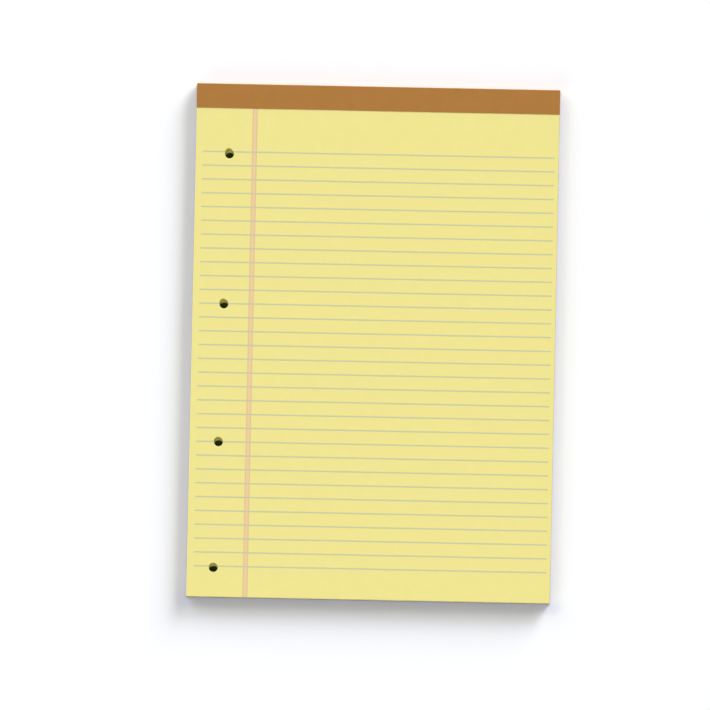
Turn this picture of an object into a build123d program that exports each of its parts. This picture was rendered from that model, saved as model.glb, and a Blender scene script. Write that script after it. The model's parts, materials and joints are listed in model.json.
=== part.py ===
from build123d import *

import os

# A4 pad of ruled paper, bound along its head, lying face up.
# +X runs across the page to the right, +Y towards the bound head, +Z up.
# The origin is under the middle of the pad, on the surface that it lies on.
# Sizes are in millimetres. Insets are measured from the edges of the page.

# Leaves
page_width = 210.0
page_length = 297.0
leaf_count = 80
leaf_thickness = 0.09

# Backing board
board_thickness = 1.0

# Binding tape, folded over the head
tape_thickness = 0.2
tape_front_depth = 14.0
tape_back_depth = 14.0
fold_radius = 0.3

# Ruled lines
first_line_inset = 39.3
line_pitch = 8.0
line_foot_space = 14.0
line_left_inset = 4.0
line_right_inset = 2.45
line_width = 0.85

# Double margin line, with a paler tint printed between the two
margin_inset = 34.0
margin_spacing = 2.2
margin_line_width = 0.7

# Film of ink that a printed line stands proud of the page
ink_thickness = 0.02

# Punched holes: each stands a little nearer the side than the one above it,
# and each gap between two holes is a little shorter than the gap above it
hole_count = 4
hole_diameter = 5.2
hole_head_inset = 40.6
hole_foot_inset = 16.9
hole_gap_step = 7.1
hole_side_inset = 19.6
hole_side_step = 1.4

# Staples of flat wire, under the tape
staple_count = 3
staple_spacing = 70.0
staple_width = 12.0
staple_clinch = 4.5
wire_width = 0.7
wire_thickness = 0.5
wire_bend_radius = 0.8
wire_clearance = 0.05

# Levels, from the table up
tape_fold_level = tape_thickness
board_top = board_thickness
page_top = board_top + leaf_count * leaf_thickness
pad_top = page_top + tape_thickness

# The edges of the page, with the pad centred over the origin, its tape included
left_edge = -page_width / 2
right_edge = page_width / 2
head_edge = (page_length - tape_thickness) / 2
foot_edge = head_edge - page_length
tape_front_edge = head_edge - tape_front_depth
tape_back_edge = head_edge - tape_back_depth


def side_profile(points, rounded=()):
    """A face seen from the side, from (y, z) corners; rounded lists (corner, radius)."""
    face = make_face(Polyline(*points, close=True))
    for corner, radius in rounded:
        nearest = face.vertices().sort_by_distance(corner)[0]
        face = fillet(nearest, radius)
    return face


def across(face):
    """Carry a side profile across the whole width of the page."""
    return extrude(Plane.YZ.offset(left_edge) * face, page_width)


def strip(left, right, head, foot):
    """A flat rectangle on the page, between two sides and two heights."""
    return Pos((left + right) / 2, (head + foot) / 2) * Rectangle(right - left, head - foot)


def hole_centres():
    """Where the holes go, from the head down."""
    span = page_length - hole_head_inset - hole_foot_inset
    even_gap = span / (hole_count - 1)
    x = left_edge + hole_side_inset
    y = head_edge - hole_head_inset
    for number in range(hole_count):
        yield x, y
        gaps_from_middle = number - (hole_count - 2) / 2
        x -= hole_side_step
        y -= even_gap - gaps_from_middle * hole_gap_step


def hole_discs():
    return Sketch() + [Pos(x, y) * Circle(hole_diameter / 2) for x, y in hole_centres()]


def drill():
    """The drill's path through the whole pad, at every hole."""
    return extrude(hole_discs(), pad_top)


# Leaves and board

def make_page_block():
    profile = side_profile(
        [(foot_edge, board_top), (head_edge, board_top), (head_edge, page_top), (foot_edge, page_top)],
        rounded=[((head_edge, page_top), fold_radius)],
    )
    return across(profile) - drill() - staples(wire_clearance)


def make_backing_board():
    """The board is pressed thinner where the tape is folded under it, so that the pad lies flat."""
    profile = side_profile(
        [
            (foot_edge, 0),
            (tape_back_edge, 0),
            (tape_back_edge, tape_fold_level),
            (head_edge, tape_fold_level),
            (head_edge, board_top),
            (foot_edge, board_top),
        ],
        rounded=[((head_edge, tape_fold_level), fold_radius)],
    )
    return across(profile) - drill() - staples(wire_clearance)


# Binding tape

def make_binding_tape():
    outer_head = head_edge + tape_thickness
    outer_radius = fold_radius + tape_thickness
    profile = side_profile(
        [
            (tape_back_edge, 0),
            (outer_head, 0),
            (outer_head, pad_top),
            (tape_front_edge, pad_top),
            (tape_front_edge, page_top),
            (head_edge, page_top),
            (head_edge, tape_fold_level),
            (tape_back_edge, tape_fold_level),
        ],
        rounded=[
            ((outer_head, 0), outer_radius),
            ((outer_head, pad_top), outer_radius),
            ((head_edge, page_top), fold_radius),
            ((head_edge, tape_fold_level), fold_radius),
        ],
    )
    return across(profile) - drill()


# Staples

def staple_path(middle):
    """Centre line of one staple: folded end, leg, crown, leg, folded end."""
    height = head_edge - tape_front_depth / 2
    crown = page_top - (wire_thickness + wire_clearance) / 2
    fold = tape_fold_level + (wire_thickness + wire_clearance) / 2
    left = middle - staple_width / 2
    right = middle + staple_width / 2
    return FilletPolyline(
        (left + staple_clinch, height, fold),
        (left, height, fold),
        (left, height, crown),
        (right, height, crown),
        (right, height, fold),
        (right - staple_clinch, height, fold),
        radius=wire_bend_radius,
    )


def staples(room=0.0):
    """Every staple, or with room around the wire, the channels that they lie in."""
    wires = Part()
    for number in range(staple_count):
        path = staple_path((number - (staple_count - 1) / 2) * staple_spacing)
        section = Rectangle(wire_width + 2 * room, wire_thickness + 2 * room)
        wires += sweep(Plane(path @ 0, x_dir=(0, 1, 0), z_dir=path % 0) * section, path=path)
    return wires


# Printed lines

def open_page():
    """The part of the page that the tape and the holes leave free."""
    return strip(left_edge, right_edge, tape_front_edge, foot_edge) - hole_discs()


def ruled_strips():
    strips = Sketch()
    height = head_edge - first_line_inset
    while height > foot_edge + line_foot_space:
        strips += strip(
            left_edge + line_left_inset,
            right_edge - line_right_inset,
            height + line_width / 2,
            height - line_width / 2,
        )
        height -= line_pitch
    return strips


def margin_strips():
    strips = Sketch()
    for side in (-1, 1):
        middle = left_edge + margin_inset + side * margin_spacing / 2
        half = margin_line_width / 2
        strips += strip(middle - half, middle + half, tape_front_edge, foot_edge)
    return strips


def margin_gap():
    """What lies between the two margin lines."""
    middle = left_edge + margin_inset
    half = (margin_spacing - margin_line_width) / 2
    return strip(middle - half, middle + half, tape_front_edge, foot_edge)


def printed(field):
    """A film of ink on the top page."""
    return extrude(Pos(0, 0, page_top) * field, ink_thickness)


def make_ruled_lines():
    return printed(ruled_strips() & open_page())


def make_margin_lines():
    """The margin lines stop at each ruled line, which runs on through them."""
    return printed((margin_strips() & open_page()) - ruled_strips())


def make_margin_tint():
    return printed((margin_gap() & open_page()) - ruled_strips())


pieces = {
    "page_block": make_page_block(),
    "backing_board": make_backing_board(),
    "binding_tape": make_binding_tape(),
    "staples": staples(),
    "ruled_lines": make_ruled_lines(),
    "margin_lines": make_margin_lines(),
    "margin_tint": make_margin_tint(),
}

os.makedirs("parts", exist_ok=True)
for name, piece in pieces.items():
    piece.label = name
    export_step(piece, f"parts/{name}.step")
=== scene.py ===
import json
import math
import random

import bmesh
import bpy
from mathutils import Matrix, Vector


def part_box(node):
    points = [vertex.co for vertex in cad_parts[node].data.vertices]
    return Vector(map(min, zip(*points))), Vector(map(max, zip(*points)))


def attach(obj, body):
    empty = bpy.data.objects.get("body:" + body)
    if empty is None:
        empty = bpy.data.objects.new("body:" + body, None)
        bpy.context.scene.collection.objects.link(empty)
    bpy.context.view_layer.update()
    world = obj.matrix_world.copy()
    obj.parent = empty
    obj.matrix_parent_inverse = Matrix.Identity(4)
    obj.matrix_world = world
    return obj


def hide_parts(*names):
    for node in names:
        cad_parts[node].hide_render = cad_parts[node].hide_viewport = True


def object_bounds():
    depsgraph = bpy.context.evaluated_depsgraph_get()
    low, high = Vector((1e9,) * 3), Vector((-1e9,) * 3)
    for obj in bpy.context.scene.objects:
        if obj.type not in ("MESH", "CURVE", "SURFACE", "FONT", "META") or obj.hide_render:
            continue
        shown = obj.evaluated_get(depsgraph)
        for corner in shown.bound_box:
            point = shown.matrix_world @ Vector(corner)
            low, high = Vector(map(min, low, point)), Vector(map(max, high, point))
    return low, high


# A4 writing pad with a taped head, lying face up on a pale floor.
# Everything is in metres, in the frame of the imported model: +X across the page, +Y to the head, +Z up.
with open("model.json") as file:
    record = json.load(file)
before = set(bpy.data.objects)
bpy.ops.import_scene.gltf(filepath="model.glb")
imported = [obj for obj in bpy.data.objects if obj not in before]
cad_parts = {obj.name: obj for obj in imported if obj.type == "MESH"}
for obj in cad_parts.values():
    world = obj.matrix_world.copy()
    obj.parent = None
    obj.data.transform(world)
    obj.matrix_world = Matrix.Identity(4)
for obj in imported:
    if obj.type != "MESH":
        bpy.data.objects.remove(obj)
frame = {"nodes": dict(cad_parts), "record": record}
cad_low, cad_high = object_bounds()

MM = 0.001
nodes_by_name = frame["nodes"]
holes = [m for m in frame["record"]["mounts"] if m["kind"] == "bore"]
page_low, page_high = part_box("page_block")
tape_low, tape_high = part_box("binding_tape")
margin_low, margin_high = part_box("margin_lines")


# Colours as they are seen, in 8-bit sRGB

PAGE = (242, 231, 147)
PAGE_EDGE = (241, 234, 148)
RULE_INK = (204, 205, 166)
MARGIN_INK = (230, 197, 149)
MARGIN_TINT = (237, 208, 160)
CROSSING_INK = (213, 197, 171)
TAPE = (174, 122, 62)
BOARD = (150, 145, 134)
FLECK_DARK = (84, 78, 72)
FLECK_LIGHT = (196, 191, 179)
STEEL = (186, 188, 190)


def linear(colour):
    """An 8-bit sRGB colour as the linear RGBA that the shaders take."""
    def channel(value):
        value /= 255
        return value / 12.92 if value <= 0.04045 else ((value + 0.055) / 1.055) ** 2.4

    return (*(channel(c) for c in colour), 1.0)


def scaled(colour, factor):
    """A linear colour made lighter or darker."""
    return (*(c * factor for c in colour[:3]), 1.0)


# Small helpers for building materials

UNTINTED = (1, 1, 1)


class Graph:
    """The node tree of one new material, around its Principled shader."""

    def __init__(self, name, roughness, specular):
        self.material = bpy.data.materials.new(name)
        self.material.use_nodes = True
        self.tree = self.material.node_tree
        self.shader = self.tree.nodes["Principled BSDF"]
        self.shader.inputs["Roughness"].default_value = roughness
        self.shader.inputs["Specular IOR Level"].default_value = specular
        self.place = self.node("ShaderNodeTexCoord").outputs["Object"]

    def node(self, kind, **settings):
        made = self.tree.nodes.new(kind)
        for name, value in settings.items():
            setattr(made, name, value)
        return made

    def link(self, source, target):
        self.tree.links.new(source, target)

    def stretched(self, x, y, z):
        """The object's own coordinates, in metres, multiplied along each axis."""
        mapping = self.node("ShaderNodeMapping")
        mapping.inputs["Scale"].default_value = (x, y, z)
        self.link(self.place, mapping.inputs["Vector"])
        return mapping.outputs["Vector"]

    def noise(self, size, detail, rough=0.5, vector=None):
        """Noise whose features are about size metres across."""
        made = self.node("ShaderNodeTexNoise")
        made.inputs["Scale"].default_value = 1 / size
        made.inputs["Detail"].default_value = detail
        made.inputs["Roughness"].default_value = rough
        self.link(vector or self.place, made.inputs["Vector"])
        return made.outputs["Fac"]

    def math(self, operation, first, second=0.0, third=0.0):
        made = self.node("ShaderNodeMath", operation=operation)
        for socket, value in zip(made.inputs, (first, second, third)):
            if isinstance(value, (int, float)):
                socket.default_value = value
            else:
                self.link(value, socket)
        return made.outputs["Value"]

    def vector_math(self, operation, first, second=(0, 0, 0)):
        made = self.node("ShaderNodeVectorMath", operation=operation)
        self.link(first, made.inputs[0])
        made.inputs[1].default_value = second
        return made.outputs

    def axis(self, letter, vector=None):
        split = self.node("ShaderNodeSeparateXYZ")
        self.link(vector or self.place, split.inputs["Vector"])
        return split.outputs[letter]

    def fade(self, distance, near, far):
        """1 at the near distance and 0 at the far one, for a mix, which takes more as 1 and less as 0."""
        return self.math("MULTIPLY_ADD", distance, -1 / (far - near), far / (far - near))

    def ramp(self, factor, low, high):
        """A colour ramp between two stops, each a position and a linear colour."""
        made = self.node("ShaderNodeValToRGB")
        for element, (position, colour) in zip(made.color_ramp.elements, (low, high)):
            element.position = position
            element.color = colour
        self.link(factor, made.inputs["Fac"])
        return made.outputs["Color"]

    def mix(self, factor, first, second, blend="MIX"):
        made = self.node("ShaderNodeMix", data_type="RGBA", blend_type=blend)
        sockets = [made.inputs["Factor"], *[s for s in made.inputs if s.type == "RGBA"]]
        for socket, value in zip(sockets, (factor, first, second)):
            if isinstance(value, (int, float, tuple)):
                socket.default_value = value
            else:
                self.link(value, socket)
        return next(s for s in made.outputs if s.type == "RGBA")

    def varied(self, pattern, colour, spread):
        """An sRGB colour that grows darker and lighter with a pattern, evenly about its own value."""
        own = linear(colour)
        return self.ramp(pattern, (0.25, scaled(own, 1 - spread)), (0.75, scaled(own, 1 + spread)))

    def tinted(self, base, pattern, low_tint, high_tint, low=0.3, high=0.7):
        """A colour multiplied by a tint that changes as a pattern goes from low to high."""
        tint = self.ramp(pattern, (low, (*low_tint, 1)), (high, (*high_tint, 1)))
        return self.mix(1.0, base, tint, "MULTIPLY")

    def colour(self, source):
        self.link(source, self.shader.inputs["Base Color"])

    def roughness(self, source, low, high):
        """Roughness that follows a pattern, between two values."""
        spread = self.node("ShaderNodeMapRange")
        spread.inputs["To Min"].default_value = low
        spread.inputs["To Max"].default_value = high
        self.link(source, spread.inputs["Value"])
        self.link(spread.outputs["Result"], self.shader.inputs["Roughness"])

    def bump(self, height, depth, strength):
        """Relief of the given depth in metres."""
        made = self.node("ShaderNodeBump")
        made.inputs["Distance"].default_value = depth
        made.inputs["Strength"].default_value = strength
        self.link(height, made.inputs["Height"])
        self.link(made.outputs["Normal"], self.shader.inputs["Normal"])


def seen_rays(tree):
    """1 for camera, mirrored and transmitted rays, and 0 for those that carry light to a matt surface."""
    rays = tree.nodes.new("ShaderNodeLightPath").outputs
    seen = rays["Is Camera Ray"]
    for name in ("Is Glossy Ray", "Is Transmission Ray"):
        either = tree.nodes.new("ShaderNodeMath")
        either.operation = "MAXIMUM"
        tree.links.new(seen, either.inputs[0])
        tree.links.new(rays[name], either.inputs[1])
        seen = either.outputs["Value"]
    return seen


# Materials

def page_material():
    """Uncoated yellow paper: faint clouds from its formation, and fibres too fine to see from a step away."""
    graph = Graph("page_paper", roughness=0.9, specular=0.1)
    clouds = graph.noise(6 * MM, detail=4, rough=0.6)
    fibres = graph.noise(0.35 * MM, detail=3, rough=0.7)
    base = graph.varied(clouds, PAGE, 0.012)
    graph.colour(graph.tinted(base, fibres, (0.97, 0.97, 0.965), UNTINTED, low=0.2, high=0.8))
    graph.roughness(fibres, 0.84, 0.95)
    graph.bump(fibres, 0.012 * MM, 0.5)
    return graph.material


def page_edge_material(leaf_thickness):
    """The cut edges of the leaves: each leaf has its own tone, streaked across by the knife."""
    graph = Graph("leaf_edges", roughness=0.9, specular=0.1)
    leaf = graph.math("FLOOR", graph.math("DIVIDE", graph.axis("Z"), leaf_thickness))
    chance = graph.node("ShaderNodeTexWhiteNoise", noise_dimensions="1D")
    graph.link(leaf, chance.inputs["W"])
    tone = chance.outputs["Value"]
    streaks = graph.noise(0.6 * MM, detail=3, vector=graph.stretched(1, 1, 0.06))
    bands = graph.noise(1.1 * MM, detail=2, vector=graph.stretched(0.01, 0.01, 1))
    base = graph.varied(bands, PAGE_EDGE, 0.07)
    leaves = graph.tinted(base, tone, (0.94, 0.92, 0.86), (1.04, 1.04, 1.04), low=0, high=1)
    graph.colour(graph.tinted(leaves, streaks, (0.94, 0.93, 0.9), UNTINTED))
    graph.roughness(streaks, 0.85, 0.97)
    graph.bump(graph.math("ADD", tone, streaks), 0.02 * MM, 0.6)
    graph.shader.inputs["Subsurface Weight"].default_value = 0.5
    graph.shader.inputs["Subsurface Radius"].default_value = (1.0, 0.95, 0.4)
    graph.shader.inputs["Subsurface Scale"].default_value = 2 * MM
    return graph.material


def tape_material():
    """Brown binding tape: paper with a fine linen grain pressed into it and a dull coating."""
    graph = Graph("binding_tape", roughness=0.65, specular=0.1)
    thread = 0.42 * MM
    warp = graph.math("SINE", graph.math("MULTIPLY", graph.axis("X"), 2 * math.pi / thread))
    weft_place = graph.math("ADD", graph.axis("Y"), graph.axis("Z"))
    weft = graph.math("SINE", graph.math("MULTIPLY", weft_place, 2 * math.pi / thread))
    weave = graph.math("MULTIPLY", warp, weft)
    slub = graph.noise(0.5 * MM, detail=3, rough=0.65)
    relief = graph.math("MULTIPLY_ADD", weave, 0.25, slub)
    clouds = graph.noise(9 * MM, detail=3)
    base = graph.varied(clouds, TAPE, 0.035)
    graph.colour(graph.tinted(base, relief, (0.94, 0.93, 0.91), (1.03, 1.03, 1.04), low=0.1, high=0.9))
    graph.roughness(slub, 0.52, 0.7)
    graph.bump(relief, 0.02 * MM, 0.5)
    return graph.material


# Flecks of the backing board, at most one to a cell: the cells' size, a fleck's size as a share of it,
# and the shares of the cells that have a dark and a light one
FLECK_SPACING = 3 * MM
FLECK_SIZE = 0.1
DARK_SHARE = 0.16
LIGHT_SHARE = 0.12


def flecked(graph, base):
    """A colour with a few darker and lighter flecks in it."""
    cells = graph.node("ShaderNodeTexVoronoi", feature="F1")
    cells.inputs["Scale"].default_value = 1 / FLECK_SPACING
    graph.link(graph.stretched(1, 0.6, 1), cells.inputs["Vector"])
    chance = graph.axis("X", cells.outputs["Color"])
    speck = graph.math("LESS_THAN", cells.outputs["Distance"], FLECK_SIZE)
    dark = graph.math("MULTIPLY", speck, graph.math("LESS_THAN", chance, DARK_SHARE))
    light = graph.math("MULTIPLY", speck, graph.math("GREATER_THAN", chance, 1 - LIGHT_SHARE))
    dotted = graph.mix(graph.math("MULTIPLY", dark, 0.5), base, linear(FLECK_DARK))
    return graph.mix(graph.math("MULTIPLY", light, 0.2), dotted, linear(FLECK_LIGHT))


def board_material():
    """Grey board from waste paper: a felted mass with darker and lighter flecks, in plies at its edges."""
    graph = Graph("grey_board", roughness=0.92, specular=0.15)
    felt = graph.noise(2.2 * MM, detail=6, rough=0.7)
    fibres = graph.noise(0.9 * MM, detail=4, rough=0.7, vector=graph.stretched(0.35, 1, 1))
    plies = graph.noise(0.28 * MM, detail=1, vector=graph.stretched(0.02, 0.02, 1))
    base = graph.varied(felt, BOARD, 0.13)
    fibred = graph.tinted(base, fibres, (0.86, 0.86, 0.85), (1.04, 1.04, 1.03))
    plied = graph.tinted(fibred, plies, (0.86, 0.85, 0.83), UNTINTED, low=0.35, high=0.65)
    graph.colour(flecked(graph, plied))
    graph.roughness(felt, 0.86, 0.97)
    graph.bump(graph.math("ADD", felt, fibres), 0.03 * MM, 0.6)
    return graph.material


def ink_colour(graph, ink):
    """Ink that takes a little unevenly on the fibres of the paper."""
    take = graph.noise(0.3 * MM, detail=3, rough=0.7)
    return graph.varied(take, ink, 0.03)


def rule_material():
    """Pale grey-green ink, which mixes with the red where a ruled line runs through the margin."""
    graph = Graph("rule_ink", roughness=0.85, specular=0.1)
    middle = (margin_low.x + margin_high.x) / 2
    half = (margin_high.x - margin_low.x) / 2
    crossing = graph.math("COMPARE", graph.axis("X"), middle, half)
    graph.colour(graph.mix(crossing, ink_colour(graph, RULE_INK), ink_colour(graph, CROSSING_INK)))
    return graph.material


def margin_material(name, ink):
    graph = Graph(name, roughness=0.85, specular=0.1)
    graph.colour(ink_colour(graph, ink))
    return graph.material


def wire_material():
    """Drawn, galvanised staple wire."""
    graph = Graph("staple_wire", roughness=0.35, specular=0.5)
    graph.shader.inputs["Metallic"].default_value = 1.0
    drawn = graph.noise(0.15 * MM, detail=2, vector=graph.stretched(0.1, 1, 0.1))
    graph.colour(graph.varied(drawn, STEEL, 0.08))
    graph.roughness(drawn, 0.28, 0.45)
    return graph.material


# Meshes

def piece_from(bm, name, materials):
    """A new object of the scene from a bmesh, with its materials."""
    mesh = bpy.data.meshes.new(name)
    bm.to_mesh(mesh)
    bm.free()
    piece = bpy.data.objects.new(name, mesh)
    bpy.context.scene.collection.objects.link(piece)
    for material in materials:
        mesh.materials.append(material)
    return piece


def wander(count, step, limit, dice):
    """A run of numbers that drifts up and down within a limit, for edges that don't quite line up."""
    value = 0.0
    for _ in range(count):
        value = max(-limit, min(limit, value + dice.uniform(-step, step)))
        yield value


# The leaves: 80 sheets in one closed mesh, each a little out of line with the next

LEAVES = 80
LEAVES_SEED = 7
LEAF_SHIFT = 0.05 * MM
PILE_SHIFT = 0.06 * MM
LEAF_GROOVE = 0.03 * MM
GROOVE_SHARE = 0.3
CUT_EDGE = 1
FOLD_RADIUS = 0.3 * MM
HOLE_SIDES = 64
HOLE_SHIFT = 0.03 * MM
HOLE_RIM = 0.05 * MM

# Wear of the holes by a binder's rings: the first hole's at the top leaf, how much less each next hole has,
# how deep it goes, and its bearing from +X towards +Y
WEAR_MOST = 0.9 * MM
WEAR_STEP = 0.26 * MM
WEAR_DEPTH = 3.5 * MM
WEAR_BEARING = math.radians(108)


def head_inset(z):
    """How far the rounded fold of the tape holds back a leaf's head edge at height z."""
    below = page_high.z - FOLD_RADIUS
    if z <= below:
        return 0.0
    return FOLD_RADIUS - math.sqrt(max(FOLD_RADIUS ** 2 - (z - below) ** 2, 0.0))


def leaf_outline(z, inset, slip, turn):
    """The four corners of one leaf at height z."""
    left = page_low.x + inset + PILE_SHIFT + LEAF_SHIFT + slip
    right = page_high.x - inset - PILE_SHIFT - LEAF_SHIFT + slip
    foot = page_low.y + inset + PILE_SHIFT + LEAF_SHIFT + turn
    head = page_high.y - inset - head_inset(z)
    return [(left, foot - turn), (right, foot), (right, head), (left, head)]


def hole_wear(number, z):
    """How far a hole is worn towards the head at height z, less and less from the top leaf down."""
    depth = (page_high.z - z) / WEAR_DEPTH
    return (WEAR_MOST - number * WEAR_STEP) * max(0.0, 1 - depth) ** 2


def hole_reach(hole, growth, wear, angle):
    """How far the wall of a hole is from its centre, at one angle."""
    return hole["dims"]["r_mm"] * MM + growth + wear * max(0.0, math.cos(angle - WEAR_BEARING)) ** 2


def hole_outline(hole, growth, wear, dx, dy):
    """The wall of one hole in one leaf."""
    x, y = hole["pos_m"][:2]
    for k in range(HOLE_SIDES):
        angle = 2 * math.pi * k / HOLE_SIDES
        reach = hole_reach(hole, growth, wear, angle)
        yield x + dx + reach * math.cos(angle), y + dy + reach * math.sin(angle)


def hole_drift(dice, last):
    """How far out of line each hole of one leaf lies; those of the last leaf, the top one, lie true."""
    if last:
        return [(0, 0) for _ in holes]
    return [(dice.uniform(-HOLE_SHIFT, 0), dice.uniform(-HOLE_SHIFT, 0)) for _ in holes]


def leaf_levels(number, thickness, slip, turn, drift):
    """The heights of one leaf's grooved lower edge, side and top, each with its outline and its holes."""
    bottom = page_low.z + number * thickness
    rim = HOLE_RIM if number == LEAVES - 1 else 0.0
    steps = (
        (bottom, LEAF_GROOVE, 0.0),
        (bottom + GROOVE_SHARE * thickness, 0.0, 0.0),
        (bottom + thickness, 0.0, rim),
    )
    for z, inset, growth in steps:
        loops = [leaf_outline(z, inset, slip, turn)]
        for order, (hole, shift) in enumerate(zip(holes, drift)):
            loops.append(hole_outline(hole, growth, hole_wear(order, z), *shift))
        yield z, loops


def add_wall(bm, lower, upper):
    """Cut edges between two rings of points, one above the other."""
    for k in range(len(lower)):
        after = (k + 1) % len(lower)
        face = bm.faces.new((lower[k], lower[after], upper[after], upper[k]))
        face.material_index = CUT_EDGE


def add_sheet(bm, rings):
    """A flat sheet inside its outer ring, with its holes left open."""
    edges = []
    for ring in rings:
        for k in range(len(ring)):
            pair = (ring[k], ring[(k + 1) % len(ring)])
            edges.append(bm.edges.get(pair) or bm.edges.new(pair))
    bmesh.ops.triangle_fill(bm, use_beauty=True, edges=edges, normal=(0, 0, 1))


def make_leaves():
    dice = random.Random(LEAVES_SEED)
    thickness = (page_high.z - page_low.z) / LEAVES
    slips = list(wander(LEAVES, LEAF_SHIFT, PILE_SHIFT, dice))
    turns = list(wander(LEAVES, LEAF_SHIFT, PILE_SHIFT, dice))
    bm = bmesh.new()
    levels = []
    for number in range(LEAVES):
        drift = hole_drift(dice, last=number == LEAVES - 1)
        for z, loops in leaf_levels(number, thickness, slips[number], turns[number], drift):
            levels.append([[bm.verts.new((x, y, z)) for x, y in loop] for loop in loops])
    for lower, upper in zip(levels, levels[1:]):
        for ring, above in zip(lower, upper):
            add_wall(bm, ring, above)
    add_sheet(bm, levels[0])
    add_sheet(bm, levels[-1])
    bmesh.ops.recalc_face_normals(bm, faces=bm.faces)
    leaves = piece_from(bm, "leaves", [page_material(), page_edge_material(thickness)])
    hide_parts("page_block")
    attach(leaves, "root")


# The ruled lines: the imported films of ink, drawn back to the worn rims of the holes that they meet

INK_CLEARANCE = 0.01 * MM
RIM_TRIES = 20


def rim_distance(hole, wear, dx, dy):
    """How far to the side of a hole's centre its worn rim is, at the height dy of a point beside it.

    The rim isn't round, so each try takes its reach at the angle that the last try came to.
    """
    for _ in range(RIM_TRIES):
        reach = hole_reach(hole, HOLE_RIM + INK_CLEARANCE, wear, math.atan2(dy, dx))
        dx = math.copysign(math.sqrt(max(reach ** 2 - dy ** 2, 0.0)), dx)
    return dx


def make_rulings():
    bm = bmesh.new()
    bm.from_mesh(nodes_by_name["ruled_lines"].data)
    for number, hole in enumerate(holes):
        x, y = hole["pos_m"][:2]
        wear = hole_wear(number, page_high.z)
        for vertex in bm.verts:
            dx, dy = vertex.co.x - x, vertex.co.y - y
            if math.hypot(dx, dy) < hole_reach(hole, HOLE_RIM, wear, math.atan2(dy, dx)):
                vertex.co.x = x + rim_distance(hole, wear, dx, dy)
    rulings = piece_from(bm, "rulings", [rule_material()])
    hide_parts("ruled_lines")
    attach(rulings, "root")


# The binding tape: one strip folded over the head, its cut edges not quite straight

TAPE_SEED = 11
TAPE_STATIONS = 141
FOLD_STEPS = 8
TAPE_EDGE_WAVER = 0.04 * MM
TAPE_EDGE_ROUND = 0.06 * MM
TAPE_EDGE_STEPS = 3

# A face with a side shorter than this belongs to a fold or a rounded edge, and is shaded smooth
TAPE_CURVE_FACE = 0.5 * MM
TAPE_SHARP_ANGLE = math.radians(50)


def arc(centre, radius, start, stop, steps):
    """Points (y, z) along an arc, from one angle to another in degrees."""
    for k in range(steps + 1):
        angle = math.radians(start + (stop - start) * k / steps)
        yield centre[0] + radius * math.cos(angle), centre[1] + radius * math.sin(angle)


def tape_section(front_edge, back_edge):
    """The closed outline of the folded tape, seen from the side."""
    thickness = tape_high.z - page_high.z
    outer = FOLD_RADIUS + thickness
    fold_y = tape_high.y - outer
    low_fold = (fold_y, tape_low.z + outer)
    high_fold = (fold_y, tape_high.z - outer)
    edge = TAPE_EDGE_ROUND
    return [
        *arc((back_edge + edge, tape_low.z + edge), edge, 180, 270, TAPE_EDGE_STEPS),
        *arc(low_fold, outer, -90, 0, FOLD_STEPS),
        *arc(high_fold, outer, 0, 90, FOLD_STEPS),
        *arc((front_edge + edge, tape_high.z - edge), edge, 90, 180, TAPE_EDGE_STEPS),
        (front_edge, page_high.z),
        *arc(high_fold, FOLD_RADIUS, 90, 0, FOLD_STEPS),
        *arc(low_fold, FOLD_RADIUS, 0, -90, FOLD_STEPS),
        (back_edge, tape_low.z + thickness),
    ]


def make_tape():
    dice = random.Random(TAPE_SEED)
    front = list(wander(TAPE_STATIONS, TAPE_EDGE_WAVER / 2, TAPE_EDGE_WAVER, dice))
    back = list(wander(TAPE_STATIONS, TAPE_EDGE_WAVER / 2, TAPE_EDGE_WAVER, dice))
    bm = bmesh.new()
    sections = []
    for station in range(TAPE_STATIONS):
        x = tape_low.x + (tape_high.x - tape_low.x) * station / (TAPE_STATIONS - 1)
        outline = tape_section(
            tape_low.y + TAPE_EDGE_WAVER + front[station],
            tape_low.y + TAPE_EDGE_WAVER + back[station],
        )
        sections.append([bm.verts.new((x, y, z)) for y, z in outline])
    for one, other in zip(sections, sections[1:]):
        for k in range(len(one)):
            after = (k + 1) % len(one)
            bm.faces.new((one[k], other[k], other[after], one[after]))
    bm.faces.new(sections[0])
    bm.faces.new(reversed(sections[-1]))
    bmesh.ops.recalc_face_normals(bm, faces=bm.faces)
    curved = [min(e.calc_length() for e in face.edges) < TAPE_CURVE_FACE for face in bm.faces]
    tape = piece_from(bm, "tape", [tape_material()])
    tape.data.set_sharp_from_angle(angle=TAPE_SHARP_ANGLE)
    tape.data.polygons.foreach_set("use_smooth", curved)
    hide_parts("binding_tape")
    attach(tape, "root")


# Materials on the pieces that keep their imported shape

def finish_packed_pieces():
    finishes = {
        "backing_board": board_material(),
        "staples": wire_material(),
        "margin_lines": margin_material("margin_ink", MARGIN_INK),
        "margin_tint": margin_material("margin_tint", MARGIN_TINT),
    }
    for node, material in finishes.items():
        mesh = nodes_by_name[node].data
        mesh.materials.clear()
        mesh.materials.append(material)


# The floor: plain and pale, and white where it is seen, with painted shadow along the pad and painted light
# and shade under its holes

FLOOR_SIZE = 60.0
FLOOR_WHITE = (1.01, 1.02, 1.06, 1.0)
FLOOR_PALE = (0.6, 0.6, 0.6, 1.0)

# The photograph's shadow is darkest at the pad's edge, and grey where light off the yellow leaves would
# tint it, so the floor is darker and bluer in a band that fades out from the foot and both sides
# Painted shadow: CONTACT_SHADE is the seen colour of the floor at the pad's edge, fading back to white across
# the band
CONTACT_SHADE = (0.86, 0.87, 1.11, 1.0)
CONTACT_WIDTH = 8 * MM

# Through the holes the photograph shows khaki and then dark, so under each hole, where nothing else shows
# it, the floor has a soft-edged disc of painted shade with painted light in khaki around it, lighter than
# paper can be, because little light gets down there
UNDER_HOLE_PAINTED_LIGHT = (1.6, 1.56, 0.6, 1.0)
UNDER_HOLE_RADIUS = 6 * MM
DISC_PAINTED_SHADE = (0.05, 0.08, 0.02, 1.0)
DISC_RADIUS = 2.8 * MM
DISC_FADE = 0.7 * MM
DISC_SHIFT = 1.3 * MM


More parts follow.
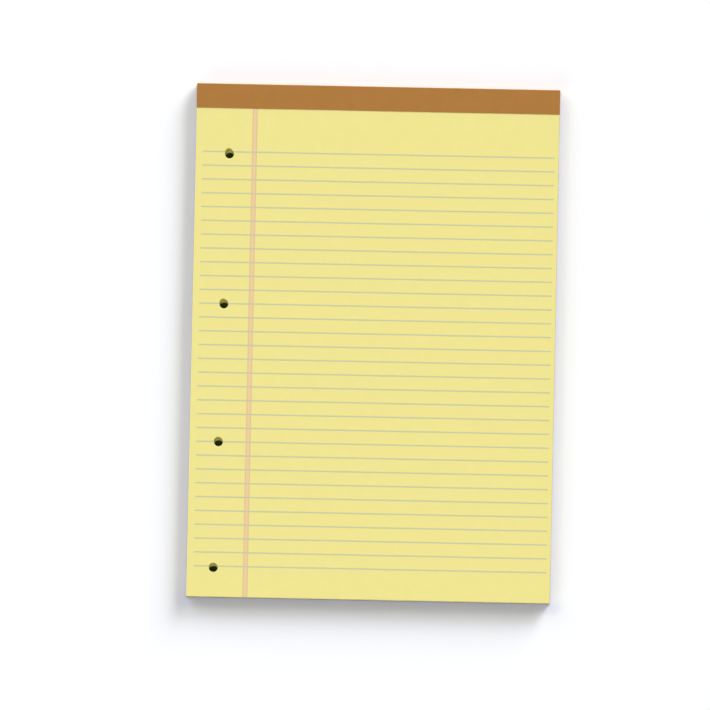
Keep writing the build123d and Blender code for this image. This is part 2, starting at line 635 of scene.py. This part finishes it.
def distance_to_pad(graph):
    """How far a place on the floor is from the pad, which is centred over the origin.

    The pad counts as shorter at its head by the width of the contact band, so that no band runs along it.
    """
    half_cut = CONTACT_WIDTH / 2
    moved = graph.vector_math("ADD", graph.place, (0, half_cut, 0))["Vector"]
    from_middle = graph.vector_math("ABSOLUTE", moved)["Vector"]
    past_edges = graph.vector_math("SUBTRACT", from_middle, (cad_high.x, cad_high.y - half_cut, 0))["Vector"]
    outside = graph.vector_math("MAXIMUM", past_edges, (0, 0, 0))["Vector"]
    return graph.vector_math("LENGTH", outside)["Value"]


def distance_to_disc(graph):
    """How far a place on the floor is from the middle of the nearest disc of painted shade."""
    nearest = FLOOR_SIZE
    for hole in holes:
        x, y = hole["pos_m"][:2]
        away = graph.vector_math("DISTANCE", graph.place, (x, y - DISC_SHIFT, cad_low.z))["Value"]
        nearest = graph.math("MINIMUM", away, nearest)
    return nearest


def floor_material():
    graph = Graph("floor", roughness=1.0, specular=0.0)
    # Painted shadow: the seen floor grows darker and bluer towards the foot and both sides of the pad
    contact = graph.fade(distance_to_pad(graph), 0, CONTACT_WIDTH)
    seen_white_with_painted_shadow = graph.mix(contact, FLOOR_WHITE, CONTACT_SHADE)
    floor_with_painted_shadow = graph.mix(seen_rays(graph.tree), FLOOR_PALE, seen_white_with_painted_shadow)
    from_disc = distance_to_disc(graph)
    # Painted light in khaki around the place under each hole, and painted shade in a soft disc within it
    painted_light_mask = graph.math("LESS_THAN", from_disc, UNDER_HOLE_RADIUS)
    painted_shade_mask = graph.fade(from_disc, DISC_RADIUS - DISC_FADE / 2, DISC_RADIUS + DISC_FADE / 2)
    graph.colour(graph.mix(painted_shade_mask, graph.mix(painted_light_mask, floor_with_painted_shadow, UNDER_HOLE_PAINTED_LIGHT), DISC_PAINTED_SHADE))
    return graph.material


def make_floor():
    half = FLOOR_SIZE / 2
    bm = bmesh.new()
    corners = ((-half, -half), (half, -half), (half, half), (-half, half))
    bm.faces.new([bm.verts.new((x, y, cad_low.z)) for x, y in corners])
    piece_from(bm, "floor", [floor_material()])


# Light: broad soft lamps standing low around the pad, and a narrower one overhead for the holes

# Each lamp's bearing from +Y towards +X, its height and its width in degrees, and its share of the page's
# light. All are far away, so that the whole page is lit alike, and the shares add up to 1.
LAMPS = {
    "back_left": (-45, 25, 60, 0.23),
    "back_right": (30, 20, 30, 0.23),
    "back_right_soft": (45, 25, 40, 0.20),
    "right": (90, 35, 80, 0.10),
    "front_left": (-150, 20, 60, 0.13),
    "overhead": (180, 84, 20, 0.11),
}


def make_lamps():
    for name, (bearing, height, width, share) in LAMPS.items():
        lamp = bpy.data.lights.new(name, "SUN")
        lamp.angle = math.radians(width)
        lamp.energy = math.pi * share / math.sin(math.radians(height))
        holder = bpy.data.objects.new(name, lamp)
        around, up = math.radians(bearing), math.radians(height)
        towards = Vector((math.sin(around) * math.cos(up), math.cos(around) * math.cos(up), math.sin(up)))
        holder.rotation_mode = "QUATERNION"
        holder.rotation_quaternion = towards.to_track_quat("Z", "Y")
        bpy.context.scene.collection.objects.link(holder)


def make_sky():
    """White where it is seen or mirrored, and no light of its own."""
    world = bpy.data.worlds.new("sky")
    world.use_nodes = True
    tree = world.node_tree
    background = tree.nodes["Background"]
    background.inputs["Color"].default_value = (1, 1, 1, 1)
    tree.links.new(seen_rays(tree), background.inputs["Strength"])
    bpy.context.scene.world = world


# Camera: nearly straight above, a little towards the foot and the right, with the pad turned clockwise

# Tilt, side and roll are in degrees, the lens and its sensor in millimetres.
CAMERA_TILT = 4.0
CAMERA_SIDE = 1.0
CAMERA_ROLL = 1.22
CAMERA_DISTANCE = 10.0
CAMERA_AIM = Vector((-10.4 * MM, -7.2 * MM, 8 * MM))
CAMERA_LENS = 878
CAMERA_SENSOR = 36


def make_camera():
    camera = bpy.data.cameras.new("camera")
    camera.sensor_width = CAMERA_SENSOR
    camera.lens = CAMERA_LENS
    camera.clip_end = 10 * CAMERA_DISTANCE
    holder = bpy.data.objects.new("camera", camera)
    side = math.tan(math.radians(CAMERA_SIDE))
    tilt = math.tan(math.radians(CAMERA_TILT))
    back = Vector((side, -tilt, 1)).normalized()
    holder.location = CAMERA_AIM + back * CAMERA_DISTANCE
    right = Vector((0, 1, 0)).cross(back).normalized()
    upright = Matrix((right, back.cross(right), back)).transposed()
    turned = upright @ Matrix.Rotation(math.radians(CAMERA_ROLL), 3, "Z")
    holder.rotation_mode = "QUATERNION"
    holder.rotation_quaternion = turned.to_quaternion()
    bpy.context.scene.collection.objects.link(holder)
    bpy.context.scene.camera = holder


make_leaves()
make_rulings()
make_tape()
finish_packed_pieces()
make_floor()
make_lamps()
make_sky()
make_camera()
bpy.context.scene.view_settings.view_transform = "Standard"
